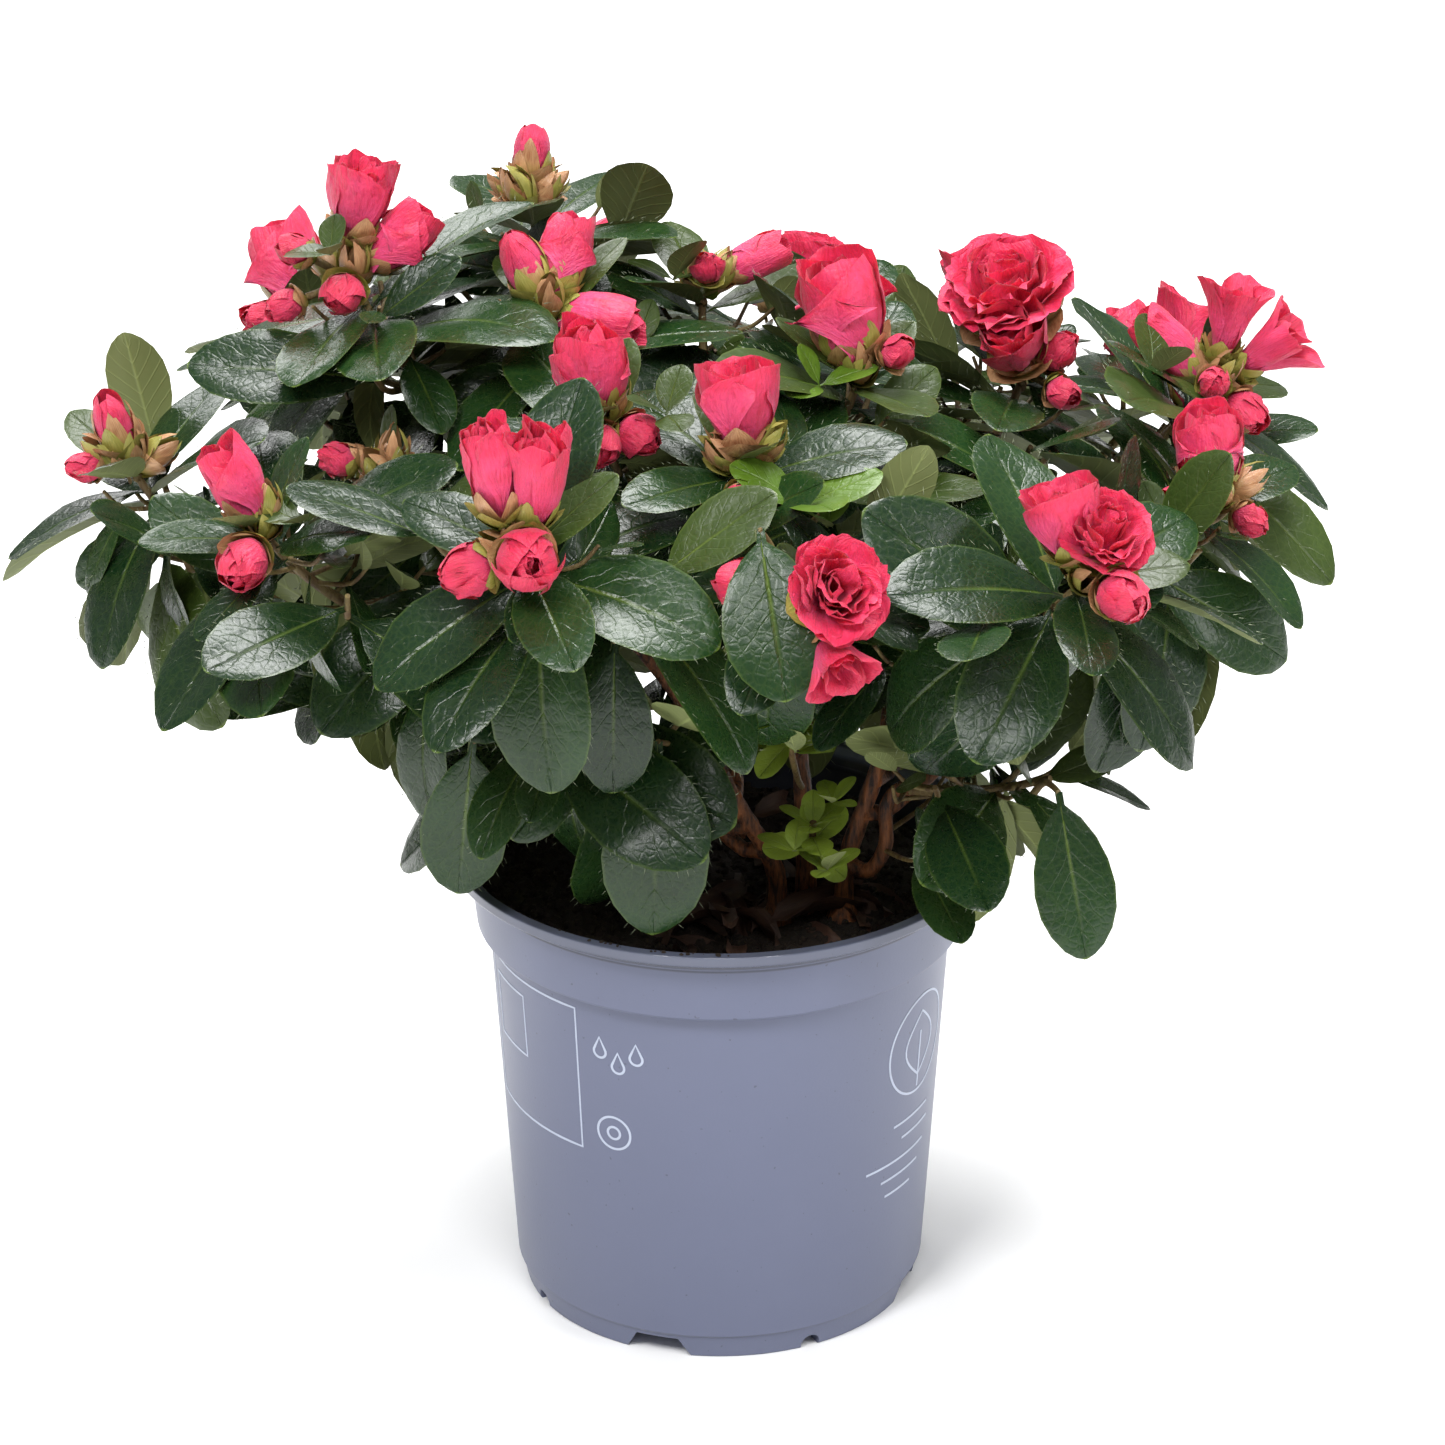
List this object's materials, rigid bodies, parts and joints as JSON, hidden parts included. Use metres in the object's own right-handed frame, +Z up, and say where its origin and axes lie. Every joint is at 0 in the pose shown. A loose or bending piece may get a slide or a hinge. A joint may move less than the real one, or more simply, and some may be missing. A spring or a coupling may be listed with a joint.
{
  "type": "potted indian azalea",
  "caption": "Compact double-flowered azalea shrub with glossy leaves, ruffled pink-red flowers and buds, rooted in the peat of a round tapered plastic nursery pot.",
  "frame": {"origin": "centre of the pot's underside", "axes": "+Z up along the pot's axis, -Y towards the front, +X to the right"},
  "size_m": [0.2881, 0.2358, 0.2624],
  "materials": {
    "pot_plastic": "moulded grey-blue plastic with fine dark specks, satin, its lip glossier",
    "peat": "dark fibrous peat with crumbs and dry papery leaves",
    "bark": "thin orange-brown flaking bark",
    "foliage": "dark glossy evergreen leaves with paler undersides",
    "petals": "soft ruffled pink-red petals, deeper in their folds"
  },
  "bodies": {
    "root": {"pot": "pot_plastic", "peat": "peat", "stem_front": "bark", "stem_middle": "bark", "stem_right": "bark", "stem_left": "bark", "stem_back": "bark", "bough_front_left": "bark", "bough_right_front": "bark", "bough_centre": "bark", "bough_centre_front": "bark", "bough_low_front": "bark", "bough_left_front": "bark", "bough_far_left": "bark", "bough_upper_left": "bark", "bough_upper_middle": "bark", "bough_centre_right": "bark", "bough_top_right": "bark", "bough_top": "bark", "bough_right_top": "bark", "bough_far_right": "bark", "bough_right": "bark", "bough_left_middle": "bark", "bough_rear_left": "bark", "bough_rear_middle": "bark", "bough_rear": "bark", "bough_rear_right": "bark", "bough_rear_far_right": "bark", "bough_low_left": "bark", "bough_low_right": "bark", "bough_low_rear": "bark", "bough_low_side": "bark", "spray_front_left": "foliage", "spray_right_front": "foliage", "spray_centre": "foliage", "spray_centre_front": "foliage", "spray_low_front": "foliage", "spray_left_front": "foliage", "spray_far_left": "foliage", "spray_upper_left": "foliage", "spray_upper_middle": "foliage", "spray_centre_right": "foliage", "spray_top_right": "foliage", "spray_top": "foliage", "spray_right_top": "foliage", "spray_far_right": "foliage", "spray_right": "foliage", "spray_left_middle": "foliage", "spray_rear_left": "foliage", "spray_rear_middle": "foliage", "spray_rear": "foliage", "spray_rear_right": "foliage", "spray_rear_far_right": "foliage", "spray_low_left": "foliage", "spray_low_right": "foliage", "spray_low_rear": "foliage", "spray_low_side": "foliage", "sprig_upper": "foliage", "sprig_lower": "foliage"}
  },
  "joints": []
}
